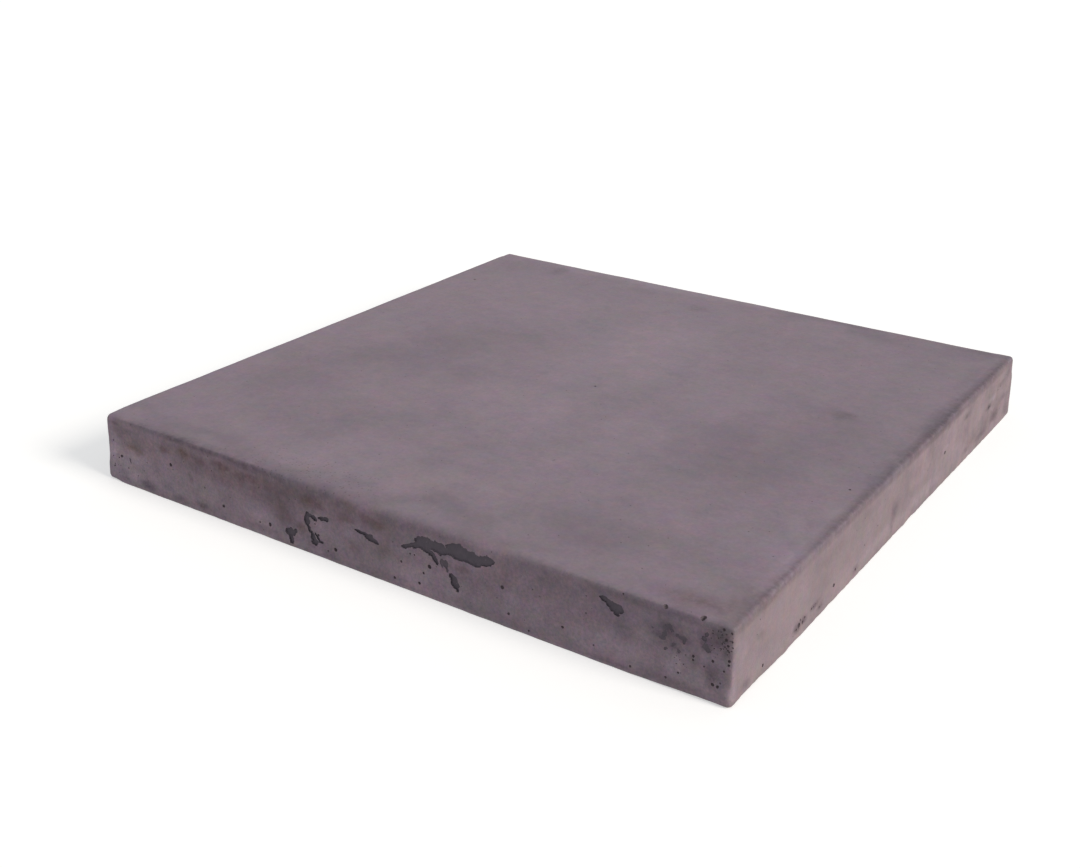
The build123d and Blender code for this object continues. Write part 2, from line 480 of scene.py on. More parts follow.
def facesAt(p):
    # the faces that this place is close to: each one's name, the place on it, and how close
    half = halfAt(p.z * mm) / mm
    nearby = (
        ("top", 0, 1, thickness / mm - p.z),
        ("front", 0, 2, half + p.y),
        ("right", 1, 2, half - p.x),
    )
    for face, acrossAxis, upAxis, depth in nearby:
        close = smooth(*stainAndLightFade["depth"], depth)
        if close > 0:
            yield face, acrossAxis, upAxis, close


def paintStainsAndLight(mesh):
    layers = {}
    for name in stainAndLightLayers:
        layers[name] = mesh.color_attributes.new(name=name, type="FLOAT_COLOR", domain="POINT").data
    for vert in mesh.vertices:
        p = vert.co / mm
        masks = dict.fromkeys(stainAndLightKinds, 0.0)
        for face, acrossAxis, upAxis, close in facesAt(p):
            for kind in stainsAndPaintedLight[face]:
                push = Vector()
                for size, far in stainAndLightKinds[kind]["pushes"]:
                    push += noise.noise_vector(p / size) * far
                along = p[acrossAxis] + push[acrossAxis]
                up = p[upAxis] + push[upAxis] * (1.0 if face == "top" else stainAndLightFade["sidePush"])
                masks[kind] = max(masks[kind], close * stainAndLightMask(face, kind, along, up))
        for name, kinds in stainAndLightLayers.items():
            layers[name][vert.index].color = (*(masks[kind] for kind in kinds), 1.0)
    print("stains painted on", len(mesh.vertices), "points")


def addStainsAndLight(tree, colour, breakUp):
    for name, kinds in stainAndLightLayers.items():
        layer = addNode(tree, "ShaderNodeAttribute", attribute_name=name)
        masks = feed(tree, addNode(tree, "ShaderNodeSeparateColor"), Color=layer.outputs["Color"])
        for slot, kind in enumerate(kinds):
            mask = masks.outputs[slot]
            if name != "clouds":
                mask = product(tree, mask, breakUp)
            colour = multiplyColour(tree, mask, colour, stainAndLightKinds[kind]["colour"])
    return colour


def addHiddenStains(tree, colour, inMm, away, z):
    for kind, (shift, low, high) in hiddenStains["kinds"].items():
        moved = vectorMaths(tree, "ADD", inMm, [shift * part for part in hiddenStains["shiftAlong"]])
        patches = softNoise(tree, moved, **hiddenStains["patches"])
        share = away
        if kind == "brown":
            share = product(tree, away, ramp(tree, z, *hiddenStains["brownRise"]))
        mask = product(tree, ramp(tree, patches, low, high), share)
        colour = multiplyColour(tree, mask, colour, stainAndLightKinds[kind]["colour"])
    return colour


def speckMask(tree, inMm, x, y, z):
    look = speckLook
    masks = {}
    for name in ("sparse", "dense"):
        masks[name] = placeGroup(tree, specks, Vector=inMm, **look[name]).outputs["Mask"]
    along = product(tree, ramp(tree, x, *look["denseFrom"]), ramp(tree, x, *look["denseTo"]))
    across = ramp(tree, y, *look["denseAcross"])
    high = ramp(tree, z, *(thickness / mm - depth for depth in look["denseDepth"]))
    dense = product(tree, masks["dense"], product(tree, along, across, high), look["denseWeight"])
    return calculate(tree, "MAXIMUM", dense, masks["sparse"])


def stoneMaterial():
    look = stoneLook
    material, tree, shader, inMm = startMaterial("castStone")
    apart = feed(tree, addNode(tree, "ShaderNodeSeparateXYZ"), Vector=inMm)
    x, y, z = (apart.outputs[name] for name in "XYZ")
    half = baseHalf / mm

    # masks for the faces
    onTop = ramp(tree, z, *(thickness / mm - depth for depth in look["topBlend"]))
    onSide = calculate(tree, "SUBTRACT", 1.0, onTop)
    onRight = ramp(tree, x, *(half - depth for depth in look["rightBlend"]))
    onFront = ramp(tree, y, *(depth - half for depth in look["sideBlend"]))
    onBack = ramp(tree, y, *(half - depth for depth in look["sideBlend"]))
    onLeft = ramp(tree, x, *(depth - half for depth in look["sideBlend"]))
    under = ramp(tree, z, *look["underBlend"])

    # uneven tone and tint, stronger on the sides than on the wearing face
    tones = {}
    for name in ("top", "side", "tint"):
        tones[name] = placeGroup(tree, mottle, Vector=inMm, **look[name])
    calm = product(tree, ramp(tree, y, *look["calmFrom"]), onRight)
    calm = calculate(tree, "MULTIPLY_ADD", calm, look["calm"] - 1, 1.0)
    feed(tree, tones["side"], Strength=product(tree, calm, look["side"]["Strength"]))
    colour = multiplyColour(tree, onTop, look["colour"], tones["top"].outputs["Colour"])
    colour = multiplyColour(tree, onSide, colour, tones["side"].outputs["Colour"])
    colour = multiplyColour(tree, 1.0, colour, tones["tint"].outputs["Colour"])
    # painted light and shade tints for the wearing face, the lit right side and the shaded front
    colour = multiplyColour(tree, onTop, colour, look["topPaintedLightTint"])
    for name, share in (("rightPaintedLampTint", onRight), ("frontPaintedShadeTint", onFront)):
        colour = multiplyColour(tree, product(tree, onSide, share), colour, look[name])
    plain, strong = look["grainStrength"]
    swing = calculate(tree, "MULTIPLY_ADD", onFront, strong - plain, plain)
    grain = placeGroup(tree, mottle, Vector=inMm, Strength=swing, **look["grain"])
    colour = multiplyColour(tree, 1.0, colour, grain.outputs["Colour"])

    # stains, and the painted shadow along the front's foot, come and go within their outlines
    breakUp = ramp(tree, softNoise(tree, inMm, **look["breakUp"]), *look["breakUpRange"])
    colour = addStainsAndLight(tree, colour, breakUp)
    away = product(tree, calculate(tree, "MAXIMUM", onBack, onLeft), onSide)
    colour = addHiddenStains(tree, colour, inMm, away, z)
    colour = multiplyColour(tree, under, colour, look["underTone"])
    marks = speckMask(tree, inMm, x, y, z)
    colour = multiplyColour(tree, marks, colour, speckLook["colour"])
    feed(tree, shader, Base_Color=colour)

    # roughness follows the same clouds, and fine grit lifts the sides more than the top
    spread = look["sideRoughness"] - look["topRoughness"]
    rough = calculate(tree, "MULTIPLY_ADD", onSide, spread, look["topRoughness"])
    wander = ramp(tree, tones["top"].outputs["Tone"], *look["roughnessSwing"])
    feed(tree, shader, Roughness=calculate(tree, "ADD", rough, wander))
    shader.inputs["Specular IOR Level"].default_value = look["specular"]
    grit = softNoise(tree, inMm, **look["grit"])
    share = calculate(tree, "MULTIPLY_ADD", onSide, 1 - look["topGrit"], look["topGrit"])
    sunk = product(tree, marks, speckLook["depth"])
    height = calculate(tree, "SUBTRACT", product(tree, grit, share), sunk)
    feed(tree, shader, Normal=liftedBy(tree, height, look["gritDepth"]))
    return material


# The floors of the pits: a smooth dark cement skin, and inside the pinholes a dark colour that is
# partly painted shade

pitLook = {
    "pocketSkin": {"colour": (0.096, 0.080, 0.100), "roughness": 0.7, "relief": 0.08},
    "veinSkin": {"colour": (0.110, 0.090, 0.112), "roughness": 0.8, "relief": 0.1},
    "pinholeShade": {"colour": (0.120, 0.094, 0.107), "roughness": 0.85, "relief": 0.1},
}
skinMottle = {"Scale": 0.25, "Detail": 5.0, "Roughness": 0.75, "Strength": 0.8, "Tint": 0.2}
skinFlakes = {"Spacing": 2.6, "Size": 0.24, "Share": 0.16}
flakeTone = (1.5, 1.5, 1.5)


def pitMaterial(name):
    look = pitLook[name]
    material, tree, shader, inMm = startMaterial(name)
    shade = placeGroup(tree, mottle, Vector=inMm, **skinMottle)
    flakes = placeGroup(tree, specks, Vector=inMm, **skinFlakes).outputs["Mask"]
    colour = multiplyColour(tree, 1.0, look["colour"], shade.outputs["Colour"])
    colour = multiplyColour(tree, flakes, colour, flakeTone)
    relief = liftedBy(tree, shade.outputs["Tone"], look["relief"])
    feed(tree, shader, Base_Color=colour, Roughness=look["roughness"], Normal=relief)
    shader.inputs["Specular IOR Level"].default_value = stoneLook["specular"]
    return material


# Lamp, world and floor

lightLook = {
    "towardsLamp": (0.86, 0.03, 0.50),
    "strength": 2.5,
    "softness": 22.0,
    "lampColour": (1.0, 0.95, 0.87),
    "skyColour": (0.96, 0.98, 1.0),
    "sky": 0.43,
}
floorLook = {"size": 12.0, "colour": (0.70, 0.70, 0.70), "lift": 0.48}


def makeLight():
    data = bpy.data.lights.new("window", "SUN")
    data.energy = lightLook["strength"]
    data.angle = math.radians(lightLook["softness"])
    data.color = lightLook["lampColour"]
    lamp = bpy.data.objects.new("window", data)
    bpy.context.scene.collection.objects.link(lamp)
    lamp.rotation_mode = "QUATERNION"
    lamp.rotation_quaternion = Vector(lightLook["towardsLamp"]).to_track_quat("Z", "Y")

    world = bpy.data.worlds.new("studio")
    bpy.context.scene.world = world
    world.use_nodes = True
    tree = world.node_tree
    tree.nodes.clear()
    sky = feed(tree, addNode(tree, "ShaderNodeBackground"), Color=(*lightLook["skyColour"], 1),
               Strength=lightLook["sky"])
    white = feed(tree, addNode(tree, "ShaderNodeBackground"), Color=(1, 1, 1, 1), Strength=1.0)
    seen = seenDirectly(tree)
    mix = addNode(tree, "ShaderNodeMixShader")
    tree.links.new(seen, mix.inputs[0])
    tree.links.new(sky.outputs[0], mix.inputs[1])
    tree.links.new(white.outputs[0], mix.inputs[2])
    output = addNode(tree, "ShaderNodeOutputWorld")
    tree.links.new(mix.outputs[0], output.inputs["Surface"])


def seenDirectly(tree):
    # 1 where the camera, or a reflection, looks at the background
    path = addNode(tree, "ShaderNodeLightPath")
    looks = calculate(tree, "MAXIMUM", path.outputs["Is Camera Ray"], path.outputs["Is Glossy Ray"])
    return calculate(tree, "MAXIMUM", looks, path.outputs["Is Transmission Ray"])


def makeFloor():
    bm = bmesh.new()
    bmesh.ops.create_grid(bm, x_segments=8, y_segments=8, size=floorLook["size"] / 2)
    mesh = bpy.data.meshes.new("floor")
    bm.to_mesh(mesh)
    bm.free()
    floor = bpy.data.objects.new("floor", mesh)
    bpy.context.scene.collection.objects.link(floor)
    material = bpy.data.materials.new("paleFloor")
    material.use_nodes = True
    tree = material.node_tree
    tree.nodes.clear()
    matt = feed(tree, addNode(tree, "ShaderNodeBsdfDiffuse"), Color=(*floorLook["colour"], 1))
    lift = product(tree, seenDirectly(tree), floorLook["lift"])
    glow = feed(tree, addNode(tree, "ShaderNodeEmission"), Color=(1, 1, 1, 1), Strength=lift)
    both = addNode(tree, "ShaderNodeAddShader")
    tree.links.new(matt.outputs[0], both.inputs[0])
    tree.links.new(glow.outputs[0], both.inputs[1])
    output = addNode(tree, "ShaderNodeOutputMaterial")
    tree.links.new(both.outputs[0], output.inputs["Surface"])
    mesh.materials.append(material)


# The slab: a drafted block with bevelled edges, cut into a grid fine enough to weather

slabShape = {
    "corner": 1.0,
    "topArris": 0.8,
    "footArris": 0.7,
    "sideStep": 2.0,
    "bands": (0, 1, 2, 4, 7),              # which columns the first lines near the rim go through
    "rimCuts": 2,
    "topStep": 6.0,
    "bedStep": 5.0,
    "sharpAngle": 38,
}


def edgesWhere(bm, test):
    return [e for e in bm.edges if test(*(v.co for v in e.verts))]


def cutAcross(bm, axis, offsets):
    for offset in offsets:
        geometry = [*bm.verts, *bm.edges, *bm.faces]
        bmesh.ops.bisect_plane(bm, geom=geometry, dist=2e-6, plane_co=axis * offset, plane_no=axis)


def cutFlat(face, step):
    # one of the two large faces as a mesh of its own: close lines near the rim, even ones inside,
    # and all of them through the ends of the columns on the sides
    bm = bmesh.new()
    bm.faces.new([bm.verts.new(v.co) for v in face.verts])
    foremost = min(v.co.y for v in face.verts)
    columns = sorted(v.co.x for v in face.verts if v.co.y < foremost + 1e-6)
    last = len(columns) - 1
    skip = round(step / slabShape["sideStep"])
    inner = range(slabShape["bands"][-1] + skip, last - slabShape["bands"][-1], skip)
    chosen = {*slabShape["bands"], *(last - band for band in slabShape["bands"]), *inner}
    offsets = [columns[turn] for turn in sorted(chosen)]
    cutAcross(bm, Vector((1, 0, 0)), offsets)
    cutAcross(bm, Vector((0, 1, 0)), offsets)

    # the bands are cut again along the rim, so that its wear can change every few millimetres
    rim = columns[-slabShape["bands"][-1] - 1] - 1e-6
    coarse = skip * slabShape["sideStep"] * mm * 0.7

    def alongRim(a, b):
        middle = (a + b) / 2
        runsX = abs(a.x - b.x) > coarse and abs(middle.y) > rim
        runsY = abs(a.y - b.y) > coarse and abs(middle.x) > rim
        return runsX or runsY

    bmesh.ops.subdivide_edges(bm, edges=edgesWhere(bm, alongRim), cuts=slabShape["rimCuts"])
    mesh = bpy.data.meshes.new("flat")
    bm.to_mesh(mesh)
    bm.free()
    return mesh


def castBlock():
    bm = bmesh.new()
    bmesh.ops.create_cube(bm, size=1.0)
    bmesh.ops.scale(bm, vec=(2 * baseHalf, 2 * baseHalf, thickness), verts=bm.verts)
    bmesh.ops.translate(bm, vec=(0, 0, thickness / 2), verts=bm.verts)
    above = [v for v in bm.verts if v.co.z > thickness / 2]
    shrink = halfAt(thickness) / baseHalf
    bmesh.ops.scale(bm, vec=(shrink, shrink, 1), verts=above)

    rounding = {"segments": 4, "profile": 0.5, "affect": "EDGES", "material": -1}
    uprights = edgesWhere(bm, lambda a, b: abs(a.z - b.z) > thickness / 2)
    bmesh.ops.bevel(bm, geom=uprights, offset=slabShape["corner"] * mm, **rounding)
    rim = edgesWhere(bm, lambda a, b: min(a.z, b.z) > thickness - 1e-6)
    bmesh.ops.bevel(bm, geom=rim, offset=slabShape["topArris"] * mm, **rounding)
    foot = edgesWhere(bm, lambda a, b: max(a.z, b.z) < 1e-6)
    bmesh.ops.bevel(bm, geom=foot, offset=slabShape["footArris"] * mm, **rounding)

    # a fine grid on the sides
    along = edgesWhere(bm, lambda a, b: (a - b).length > baseHalf)
    columns = int(2 * baseHalf / mm / slabShape["sideStep"])
    bmesh.ops.subdivide_edges(bm, edges=along, cuts=columns, use_grid_fill=True)
    upright = edgesWhere(bm, lambda a, b: abs(a.z - b.z) > thickness / 2)
    rows = int(thickness / mm / slabShape["sideStep"]) - 2
    bmesh.ops.subdivide_edges(bm, edges=upright, cuts=rows, use_grid_fill=True)

    flats = [f for f in bm.faces if f.calc_area() > baseHalf ** 2]
    for face in flats:
        isTop = face.calc_center_median().z > thickness / 2
        cut = cutFlat(face, slabShape["topStep" if isTop else "bedStep"])
        bm.from_mesh(cut)
        bpy.data.meshes.remove(cut)
    bmesh.ops.delete(bm, geom=flats, context="FACES_ONLY")
    bmesh.ops.remove_doubles(bm, verts=bm.verts, dist=1e-6)
    bmesh.ops.triangulate(bm, faces=[f for f in bm.faces if len(f.verts) > 4])
    bmesh.ops.recalc_face_normals(bm, faces=bm.faces)
    print("block cut into", len(bm.faces), "faces, with", countOpen(bm), "open edges")
    return bm


def countOpen(bm):
    return sum(not edge.is_manifold for edge in bm.edges)


# Wear: edges are rubbed round, and every face is a little uneven. It only takes stone away,
# so the slab stays inside its measured box.

wear = {
    # how round each edge is: the uprights at their top, middle and foot, then the edges of the
    # wearing face and of the foot
    "corners": {
        "left": (4.4, 5.2, 3.8), "near": (2.4, 1.7, 4.0), "far": (3.4, 1.0, 1.6), "back": (4, 3, 3),
    },
    "arris": {"front": 2.5, "right": 2.7, "back": 5.0, "left": 3.0},
    "foot": {"front": 1.2, "right": 2.2, "back": 2.2, "left": 2.2},
    "leastFoot": 0.8,
    "topPart": (0.62, 0.80), "footPart": (0.38, 0.20),      # where they start and hold, up the side
    "cornerReach": (18, 5), "sideReach": (16, 5),           # and how far round a corner
    # more foot is lost by the near corner and less by the far one
    "nearFoot": 2.8, "nearFootReach": (75, 8), "farFoot": -1.6, "farFootReach": (200, 40),
    # and more arris along the middle of the front edge
    "frontRoll": 3.7, "frontRollFrom": (-100, -30), "frontRollTo": (150, 95),
    # noise in them: sizes and seeds
    "arrisSwing": 0.13, "arrisLumps": (42, 3.1),
    "ragged": {"front": 0.4, "right": 1.0, "back": 0.6, "left": 0.5},
    "raggedLumps": (16, 8.4), "finerRagged": 0.6, "finerLumps": (6, 4.4),
    # how deep the waves, ripples and grit of each face are, then their sizes, seeds and octaves
    "uneven": {"top": (0.16, 0.05, 0.02), "bed": (0.55, 0.45, 0.12), "side": (0.28, 0.16, 0.08)},
    "unevenLumps": ((46, 1.7, 3), (9, 5.2, 3), (3.4, 9.9, 2)),
    "facing": (0.3, 0.9), "trueRim": (3, 18),
}
cornerNames = {(-1, -1): "left", (1, -1): "near", (1, 1): "far", (-1, 1): "back"}


def smooth(low, high, value):
    t = min(1.0, max(0.0, (value - low) / (high - low)))
    return t * t * (3 - 2 * t)


def rubble(p, size, seed, octaves=3):
    # soft noise between about -1 and 1, whose lumps are about this many millimetres across
    return noise.fractal(Vector(p) / size + Vector((seed, 0, 0)), 1.0, 2.0, octaves)


def roundingAt(p):
    # how far the nearest edge is rubbed round here, in millimetres
    half = halfAt(p.z * mm) / mm
    high = smooth(*wear["topPart"], p.z / (thickness / mm))
    low = smooth(*wear["footPart"], p.z / (thickness / mm))
    distances = {"front": -p.y, "right": p.x, "back": p.y, "left": -p.x}
    shares = {}
    for side, out in distances.items():
        shares[side] = smooth(*(half - reach for reach in wear["sideReach"]), out) + 1e-6
    total = sum(shares.values())
    arris, foot, ragged = (
        sum(share * wear[name][side] for side, share in shares.items()) / total
        for name in ("arris", "foot", "ragged")
    )
    rolled = smooth(*wear["frontRollFrom"], p.x) * smooth(*wear["frontRollTo"], p.x)
    arris += shares["front"] * rolled * wear["frontRoll"]
    arris *= 1 + wear["arrisSwing"] * rubble(p, *wear["arrisLumps"])
    lumps = rubble(p, *wear["raggedLumps"]) + wear["finerRagged"] * rubble(p, *wear["finerLumps"])
    foot += ragged * lumps
    foot += wear["nearFoot"] * smooth(*wear["nearFootReach"], math.hypot(half - p.x, half + p.y))
    foot += wear["farFoot"] * smooth(*wear["farFootReach"], math.hypot(half - p.x, half - p.y))
    corner = cornerNames[(1 if p.x > 0 else -1, 1 if p.y > 0 else -1)]
    atTop, atMiddle, atFoot = wear["corners"][corner]
    middle = atMiddle * (1 - high - low)
    along = arris * high + middle + max(foot, wear["leastFoot"]) * low
    upright = atTop * high + middle + atFoot * low
    off = math.hypot(half - abs(p.x), half - abs(p.y))
    return along + (upright - along) * smooth(*wear["cornerReach"], off)


def rubEdges(bm):
    for vert in bm.verts:
        p = vert.co / mm
        half = halfAt(vert.co.z) / mm
        inside = Vector((half - abs(p.x), half - abs(p.y), min(p.z, thickness / mm - p.z)))
        rounding = roundingAt(p)
        out = Vector([max(rounding - depth, 0.0) for depth in inside])
        if out.length <= rounding:
            continue
        out *= rounding / out.length
        depths = [rounding - part if part > 0 else depth for part, depth in zip(out, inside)]
        x = math.copysign(half - depths[0], p.x)
        y = math.copysign(half - depths[1], p.y)
        z = depths[2] if p.z < thickness / mm / 2 else thickness / mm - depths[2]
        vert.co = Vector((x, y, z)) * mm


def roughenFaces(bm):
    bm.normal_update()
    start, full = wear["facing"]
    moves = []
    for vert in bm.verts:
        p = vert.co / mm
        up = vert.normal.z
        shares = {"top": smooth(start, full, up), "bed": smooth(-start, -full, up)}
        shares["side"] = 1 - shares["top"] - shares["bed"]
        shares["bed"] *= smooth(*wear["trueRim"], halfAt(0) / mm - max(abs(p.x), abs(p.y)))
        lumps = [0.5 + 0.5 * rubble(p, *lump) for lump in wear["unevenLumps"]]
        depth = 0.0
        for face, share in shares.items():
            for deep, lump in zip(wear["uneven"][face], lumps):
                depth += share * deep * lump
        moves.append(vert.normal * max(depth, 0.0) * mm)
    for vert, move in zip(bm.verts, moves):
        vert.co -= move


# Air pockets and pinholes. Each pocket is a run of merged bubbles with a flat floor:
# (along, up, half length, half height, tilt), much as on the solid part.

pits = {
    "pocketDepth": 1.2,
    "veinDepth": 0.4,
    "clear": 1.5, "clearSwing": (1.0, 1.5),     # how far a bubble stands out of the face
    "uneven": 0.2,                              # how much neighbouring bubbles differ in depth
    "floorShare": 0.93,                         # a floor's width, of its mouth's
    "lumps": ((3.2, 1.3), (1.4, 0.8), (0.7, 0.5)),      # size and height of an outline's raggedness
    "lumpLimit": 0.36,                          # of a bubble's half height
    "segments": 80,
    # a pinhole's middle is sunk this far, in radii, and it is this wide, high and deep
    "pinholeSink": (-0.35, 0.2),
    "pinholeWide": (0.85, 1.25), "pinholeHigh": (0.85, 1.1), "pinholeDeep": 1.4,
    "crumb": 100,                               # a loose part with fewer points than this is dropped
}

frontPockets = [
    (41, 36.6, 8.5, 4.5, 0), (51, 36.4, 8.5, 4.1, -4), (66, 38, 9.5, 5.6, 4), (77, 37, 9, 4.8, 0),
    (86, 38.6, 7.6, 3.4, 8), (27.6, 30.6, 5, 1.8, 22), (33.4, 33.2, 4, 2, 30), (40, 33, 6, 2.2, -10),
    (45.4, 31.6, 5.4, 2.2, -22), (49.2, 28.4, 4.4, 1.6, -60), (62.4, 20.2, 2.4, 2, -40),
    (64.2, 17.2, 4.6, 3.2, -64), (66, 13.6, 2, 1.2, -70), (168.6, 41, 4, 1.6, -12),
    (174.6, 39.6, 5.6, 2.4, -10), (173.4, 38, 5.4, 2.7, -40), (172.2, 40, 3.6, 1.9, -20),
    (177.4, 37.8, 3.2, 2.8, -30), (176.6, 35.2, 3, 2, -66), (-53.4, 27.8, 3.8, 1.9, -4),
    (-49.6, 26.6, 3, 1.8, -26), (-55.6, 25.6, 2.4, 2.6, 0), (-55, 22.6, 3.6, 2.3, -78),
    (-53.4, 18, 2.8, 1.4, -66), (-50.6, 14, 3.4, 1.6, -66), (-49.4, 11.4, 3.2, 2.4, -60),
    (-48.6, 9.6, 3, 2.2, 20), (-46.4, 14, 3.6, 0.9, -48), (-43.6, 11.4, 2.2, 1.2, 6),
    (-41, 28.4, 5.2, 1.8, 6), (-70.2, 10.6, 4.6, 3.4, 12), (-69.6, 6.2, 3.8, 2.4, -84),
    (-66.4, 12, 2.8, 1.6, 30), (-8.6, 28.6, 6.8, 1.3, -4), (-1.4, 26.6, 5.6, 2.4, -12),
    (2, 25.6, 3, 1.6, -20),
]

# shallower marks, where the skin over a bubble has crazed
frontVeins = [
    (54.8, 27.6, 2.1, 3.2, 0), (57.2, 27.2, 2, 3.1, 0), (58.6, 24.2, 0.8, 1.8, 0),
    (198.2, 36.4, 0.8, 0.7, 0), (199.6, 33.6, 1.8, 1.1, -52), (202.6, 31.9, 2.8, 1.4, -22),
    (205.6, 30.6, 2.2, 1.5, -6), (207, 33, 1.2, 2.2, -8), (207.4, 36.2, 1.2, 2.2, 6),
    (209, 38.6, 2.2, 1.3, 4), (211, 37, 1.1, 2, 20), (214.6, 35, 1.5, 1.2, -20),
    (217.6, 34.2, 2.8, 1.1, 0), (219.4, 32.2, 1, 1.8, -14), (212.7, 28, 1.2, 2.2, -24),
    (215.8, 25.8, 1.3, 1.6, 30), (208.2, 24.3, 1.7, 0.9, 30), (231.6, 33.6, 2.4, 2.3, 16),
    (233.6, 32.2, 2, 1.7, -20), (230.4, 38.2, 1.2, 1.4, 0), (231.8, 41.4, 0.9, 1.4, -20),
    (-223.6, 20, 1, 2.6, 12),
]

frontPinholes = [
    (45, 21.8, 1.3), (40.4, 16, 1), (23, 18.4, 1.1), (37.2, 8, 1.3), (17.6, 5.4, 1.2), (-31, 9.6, 1.6),
    (-88.4, 10.4, 1.5), (-131.6, 11.2, 1.3), (-181.6, 28.2, 1.4), (-232.6, 21.2, 1.3), (225, 25.5, 1),
    (240.6, 12.2, 1), (205.8, 49.6, 1.9), (236.6, 26.7, 1), (237.6, 12.5, 1), (216.8, 12.2, 0.8),
    (209.4, 6.5, 0.9), (246, 30, 0.9), (246, 27.5, 0.8), (243.6, 23, 0.8), (225, 23.2, 0.7),
    (30, 26, 0.7), (33.4, 26.2, 0.6), (99, 25.6, 1.2), (104, 9.8, 0.9), (118.6, 3.4, 0.8),
    (-4.6, 48.2, 0.9), (52.6, 44.6, 0.5), (141.6, 14, 0.9), (-220.6, 48, 0.6), (16.4, 29.8, 0.5),
    (-45.4, 15.6, 1), (-37.4, 6.8, 0.7), (-97.6, 9.4, 0.7), (179.6, 48.2, 0.9), (187, 5, 0.9),
    (231.8, 21.7, 0.6), (242, 15, 0.6), (220.4, 24.6, 0.5), (241.4, 47.6, 0.9), (246, 46.8, 0.8),
    (243.2, 45.4, 0.5), (243.2, 42, 0.9), (246.6, 41.8, 0.8), (240.6, 44.2, 0.6), (247, 44.4, 0.6),
    (241.4, 40.2, 0.5), (247.2, 38.4, 0.7), (238.8, 41.6, 0.45), (244.6, 33.6, 0.5),
    (235.2, 44.8, 0.45), (241, 35.8, 0.5), (246.8, 36.4, 0.5), (234.6, 40.2, 0.4), (244.6, 38.8, 0.9),
    (242.8, 37.6, 0.6), (245.4, 35.2, 0.6), (238.4, 45.4, 0.5), (237.6, 49, 0.5),
]
rightPinholes = [
    (-111.8, 11.8, 1.6), (88, 25.2, 1.5), (-211, 8.4, 1.3), (190.2, 25.6, 1.6), (-163, 9.6, 1.7),
    (-157.6, 9, 1.3), (-166.4, 8.2, 1), (-161, 12.2, 0.9), (-154.6, 10.8, 0.9), (-145, 11.8, 0.9),
    (-142, 11.6, 0.7), (-139, 12.2, 0.6), (-133, 7, 0.9), (-77, 6.6, 1),
]
topPinholes = [(-222.6, 158.0, 1.2), (233.0, -57.0, 1.0), (8.6, -2.0, 0.9), (228.5, -246.4, 2.0)]
# places with many of them: (face, along, up, half width, half height, how many, smallest, largest)
strayPinholes = [
    ("front", 0, 25, 240, 20, 34, 0.3, 0.6), ("front", 226, 24, 20, 12, 18, 0.3, 0.5),
    ("front", -224, 20, 22, 13, 26, 0.35, 0.7), ("front", 241, 41, 6, 8, 20, 0.35, 0.6),
    ("right", 0, 25, 240, 20, 20, 0.3, 0.6), ("right", 222, 26, 22, 16, 18, 0.35, 0.7),
    ("back", 0, 25, 240, 20, 52, 0.3, 1.3), ("left", 0, 25, 240, 20, 48, 0.3, 1.3),
]

sideTurns = {"front": 0, "right": 90, "back": 180, "left": 270}


def onFace(face, along, up):
    # where a pit sits, with z pointing out of the face
    if face == "top":
        return Matrix.Translation(Vector((along * mm, up * mm, thickness)))
    turn = Matrix.Rotation(math.radians(sideTurns[face]), 4, "Z")
    tip = Matrix.Rotation(math.radians(90) - lean, 4, "X")
    out = Matrix.Translation((0, -baseHalf, 0))
    return turn @ out @ tip @ Matrix.Translation((along * mm, up * mm, 0))


def addBubble(bm, finish, face, along, up, halfLength, halfHeight, tilt, depth):
    # a flat-floored bubble, a little narrower at its floor, with a ragged outline. No two have
    # their floors or lids at one level, so that they merge cleanly.
    made = bmesh.ops.create_cone(bm, cap_ends=True, segments=pits["segments"], depth=1.0,
                                 radius1=pits["floorShare"], radius2=1.0)
    depth += random.uniform(-0.5, 0.5) * pits["uneven"]
    tall = depth + pits["clear"] * random.uniform(*pits["clearSwing"])
    shape = Matrix.Diagonal((halfLength, halfHeight, tall, 1))
    bmesh.ops.transform(bm, matrix=shape, verts=made["verts"])
    limit = halfHeight * pits["lumpLimit"]
    for vert in made["verts"]:
        rim = Vector((vert.co.x / halfLength, vert.co.y / halfHeight, 0)).normalized()
        rim = Vector((rim.x * halfLength, rim.y * halfHeight, 0))
        seed = rim + Vector((along, up, 5.0))
        swell = sum(height * noise.noise(seed / size) for size, height in pits["lumps"])
        vert.co.xy *= 1 + max(-limit, min(limit, swell)) / rim.length
    lift = Matrix.Translation((0, 0, (tall / 2 - depth) * mm))
    spin = Matrix.Rotation(math.radians(tilt), 4, "Z")
    seat = onFace(face, along, up) @ lift @ spin @ Matrix.Diagonal((mm, mm, mm, 1))
    bmesh.ops.transform(bm, matrix=seat, verts=made["verts"])
    setFinish(made["verts"], finish)


def addPinhole(bm, face, along, up, radius):
    made = bmesh.ops.create_icosphere(bm, subdivisions=2, radius=radius * mm)
    sink = Matrix.Translation((0, 0, -radius * random.uniform(*pits["pinholeSink"]) * mm))
    wide, high = random.uniform(*pits["pinholeWide"]), random.uniform(*pits["pinholeHigh"])
    stretch = Matrix.Diagonal((wide, high, pits["pinholeDeep"], 1))
    spin = Matrix.Rotation(random.uniform(0, math.pi), 4, "Z")
    bmesh.ops.transform(bm, matrix=onFace(face, along, up) @ sink @ spin @ stretch, verts=made["verts"])
    setFinish(made["verts"], "pinholeShade")


def setFinish(verts, finish):
    # the faces of a cut bring their finish's number with them, and the stone itself is number 0
    number = 1 + list(pitLook).index(finish)
    for vert in verts:
        for face in vert.link_faces:
            face.material_index = number


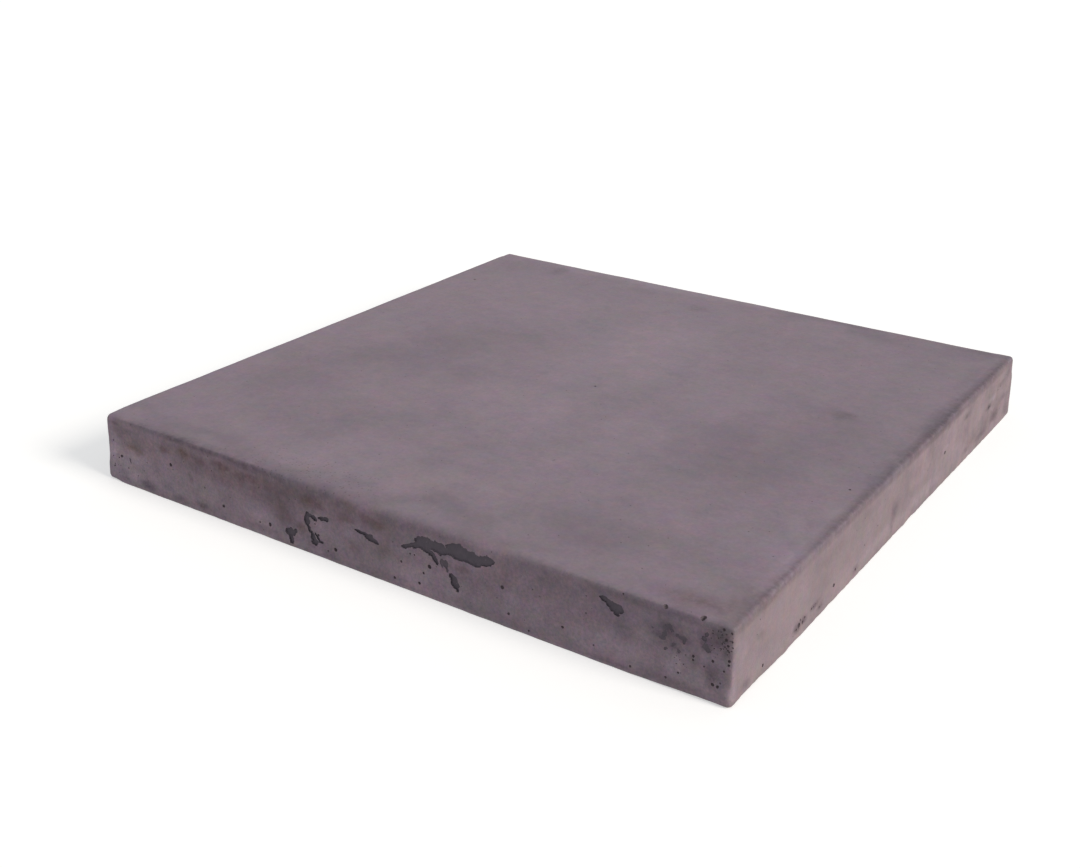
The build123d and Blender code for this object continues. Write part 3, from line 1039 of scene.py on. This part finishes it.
def pitCutter(name, fill):
    # one mesh that is cut out of the slab
    bm = bmesh.new()
    fill(bm)
    bmesh.ops.recalc_face_normals(bm, faces=bm.faces)
    mesh = bpy.data.meshes.new(name)
    bm.to_mesh(mesh)
    bm.free()
    cutter = bpy.data.objects.new(name, mesh)
    bpy.context.scene.collection.objects.link(cutter)
    return cutter


def applyCut(target, tool, operation, merges):
    modifier = target.modifiers.new(tool.name, "BOOLEAN")
    modifier.operation = operation
    modifier.solver = "EXACT"
    modifier.use_self = merges
    modifier.object = tool
    depsgraph = bpy.context.evaluated_depsgraph_get()
    mesh = bpy.data.meshes.new_from_object(target.evaluated_get(depsgraph))
    target.modifiers.remove(modifier)
    before = target.data
    target.data = mesh
    bpy.data.meshes.remove(before)


def fillPockets(bm):
    for bubble in frontPockets:
        addBubble(bm, "pocketSkin", "front", *bubble, pits["pocketDepth"])
    for bubble in frontVeins:
        addBubble(bm, "veinSkin", "front", *bubble, pits["veinDepth"])


def fillPinholes(bm):
    for face, holes in (("front", frontPinholes), ("right", rightPinholes), ("top", topPinholes)):
        for hole in holes:
            addPinhole(bm, face, *hole)
    for face, along, up, wide, high, count, smallest, largest in strayPinholes:
        for turn in range(count):
            place = (along + random.uniform(-wide, wide), up + random.uniform(-high, high))
            addPinhole(bm, face, *place, smallest + (largest - smallest) * random.random() ** 2)


def farCube(bm):
    # something well clear of the slab to join to, so that overlapping bubbles merge
    made = bmesh.ops.create_cube(bm, size=mm)
    bmesh.ops.translate(bm, vec=(0, 0, 1), verts=made["verts"])


def dropCrumbs(mesh):
    # a cut can leave flakes without thickness, which would spoil the next one
    bm = bmesh.new()
    bm.from_mesh(mesh)
    left = set(bm.verts)
    crumbs = []
    while left:
        island = [left.pop()]
        for vert in island:
            for edge in vert.link_edges:
                other = edge.other_vert(vert)
                if other in left:
                    left.remove(other)
                    island.append(other)
        if len(island) < pits["crumb"]:
            crumbs.append(island)
    for island in crumbs:
        bmesh.ops.delete(bm, geom=island, context="VERTS")
    bm.to_mesh(mesh)
    bm.free()
    return len(crumbs)


def cutPits(slab):
    for name, fill in (("pockets", fillPockets), ("pinholes", fillPinholes)):
        cutter = pitCutter(name, fill)
        cube = pitCutter("farCube", farCube)
        applyCut(cutter, cube, "UNION", True)
        applyCut(slab, cutter, "DIFFERENCE", False)
        for tool in (cutter, cube):
            bpy.data.meshes.remove(tool.data)
        crumbs = dropCrumbs(slab.data)
        print(name, "cut,", len(slab.data.polygons), "faces now,", crumbs, "crumbs dropped")


def makeSlab(finishes):
    bm = castBlock()
    rubEdges(bm)
    roughenFaces(bm)
    print("edges rubbed and faces roughened")
    mesh = bpy.data.meshes.new("castSlab")
    bm.to_mesh(mesh)
    bm.free()
    slab = bpy.data.objects.new("castSlab", mesh)
    bpy.context.scene.collection.objects.link(slab)
    for finish in finishes:
        mesh.materials.append(finish)
    cutPits(slab)
    slab.data.name = "castSlab"
    paintStainsAndLight(slab.data)
    slab.data.shade_smooth()
    slab.data.set_sharp_from_angle(angle=math.radians(slabShape["sharpAngle"]))
    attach(slab, "root")
    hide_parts("paver")
    return slab


makeCamera()
makeLight()
makeFloor()
print("camera, lamp and floor made")
makeSlab([stoneMaterial(), *(pitMaterial(name) for name in pitLook)])
print("slab made")

bpy.context.scene.view_settings.view_transform = "Standard"
